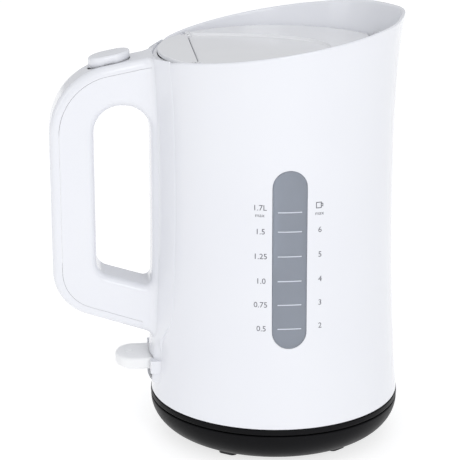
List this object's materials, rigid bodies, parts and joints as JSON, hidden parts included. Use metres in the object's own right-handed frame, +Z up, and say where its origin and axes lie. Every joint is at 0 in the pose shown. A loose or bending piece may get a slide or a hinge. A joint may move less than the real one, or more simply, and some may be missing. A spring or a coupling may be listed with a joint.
{
  "type": "electric kettle",
  "caption": "Cordless jug kettle with a sloping rim, loop handle, level windows, hinged lid with a release button, rocker switch and a round power base.",
  "frame": {"origin": "on the vertical axis of the round power base, at the centre of the hub face under it, level with the surface it stands on to within 1 mm", "axes": "+Z up, +X towards the spout, -X towards the handle, +Y to the left of someone who pours"},
  "size_m": [0.221, 0.16, 0.2726],
  "materials": {
    "white_plastic": "glossy moulded",
    "window_clear": "clear tinted plastic",
    "grey_plastic": "satin moulded",
    "screw_steel": "zinc plated",
    "plate_steel": "brushed",
    "aluminium": "pressed",
    "element_sheath": "dull",
    "red_silicone": "matte",
    "cream_plastic": "moulded",
    "clear_white": "translucent",
    "lamp_glass": "glass",
    "black_plastic": "fine texture",
    "dark_plastic": "moulded",
    "brass": "bright",
    "foot_rubber": "matte"
  },
  "bodies": {
    "base": {"base_shell": "black_plastic", "base_bottom": "black_plastic", "base_connector": "dark_plastic", "connector_contacts": "brass", "cord_bushing": "black_plastic", "base_screws": "screw_steel", "base_feet": "foot_rubber"},
    "socket": {"kettle_socket": "dark_plastic", "socket_contacts": "brass"},
    "kettle": {"body_shell": "white_plastic", "window_left": "window_clear", "window_right": "window_clear", "handle_body": "white_plastic", "handle_cover": "white_plastic", "handle_screws": "screw_steel", "button_spring": "screw_steel", "rear_cover": "white_plastic", "hinge_bracket": "grey_plastic", "hinge_pins": "screw_steel", "lid_spring": "screw_steel", "heating_plate": "plate_steel", "heat_spreader": "aluminium", "heating_element": "element_sheath", "plate_gasket": "red_silicone", "clamp_ring": "grey_plastic", "clamp_screws": "screw_steel", "control_unit": "cream_plastic", "switch_bracket": "grey_plastic", "switch_pin": "screw_steel", "indicator_lamp": "lamp_glass", "steam_tube": "grey_plastic", "tube_grommet": "red_silicone", "bottom_cover": "black_plastic", "bottom_screws": "screw_steel"},
    "lid": {"lid": "white_plastic", "lid_liner": "grey_plastic", "lid_screws": "screw_steel"},
    "button": {"release_button": "white_plastic"},
    "latch": {"latch_slider": "grey_plastic"},
    "switch": {"switch_paddle": "clear_white"},
    "trip": {"trip_rod": "grey_plastic"},
    "filter": {"filter_frame": "grey_plastic", "filter_mesh": "plate_steel"}
  },
  "joints": [
    {"name": "lift_off", "type": "slide", "parent": "base", "child": "socket", "axis": [0, 0, 1], "range_m": [0, 0.12]},
    {"name": "swivel", "type": "hinge", "parent": "socket", "child": "kettle", "pos_m": [0, 0, 0.025], "axis": [0, 0, 1], "continuous": true},
    {"name": "lid_hinge", "type": "hinge", "parent": "kettle", "child": "lid", "pos_m": [-0.051, 0, 0.2493], "axis": [0, -1, 0], "range_deg": [0, 78]},
    {"name": "button_press", "type": "slide", "parent": "kettle", "child": "button", "axis": [0, 0, -1], "range_m": [0, 0.003], "stiffness_N_per_m": 400, "springref_m": -0.002, "deforming": ["button_spring"]},
    {"name": "latch_slide", "type": "slide", "parent": "kettle", "child": "latch", "axis": [-1, 0, 0], "range_m": [0, 0.003]},
    {"name": "switch_rock", "type": "hinge", "parent": "kettle", "child": "switch", "pos_m": [-0.07, 0, 0.0494], "axis": [0, -1, 0], "range_deg": [0, 10]},
    {"name": "trip_lift", "type": "slide", "parent": "kettle", "child": "trip", "axis": [0, 0, 1], "range_m": [0, 0.0022]},
    {"name": "filter_lift", "type": "slide", "parent": "kettle", "child": "filter", "axis": [0, 0, 1], "range_m": [0, 0.05]}
  ],
  "couplings": [
    {"joint": "latch_slide", "follows": "button_press", "ratio": 1},
    {"joint": "trip_lift", "follows": "switch_rock", "m_per_rad": 0.012}
  ]
}
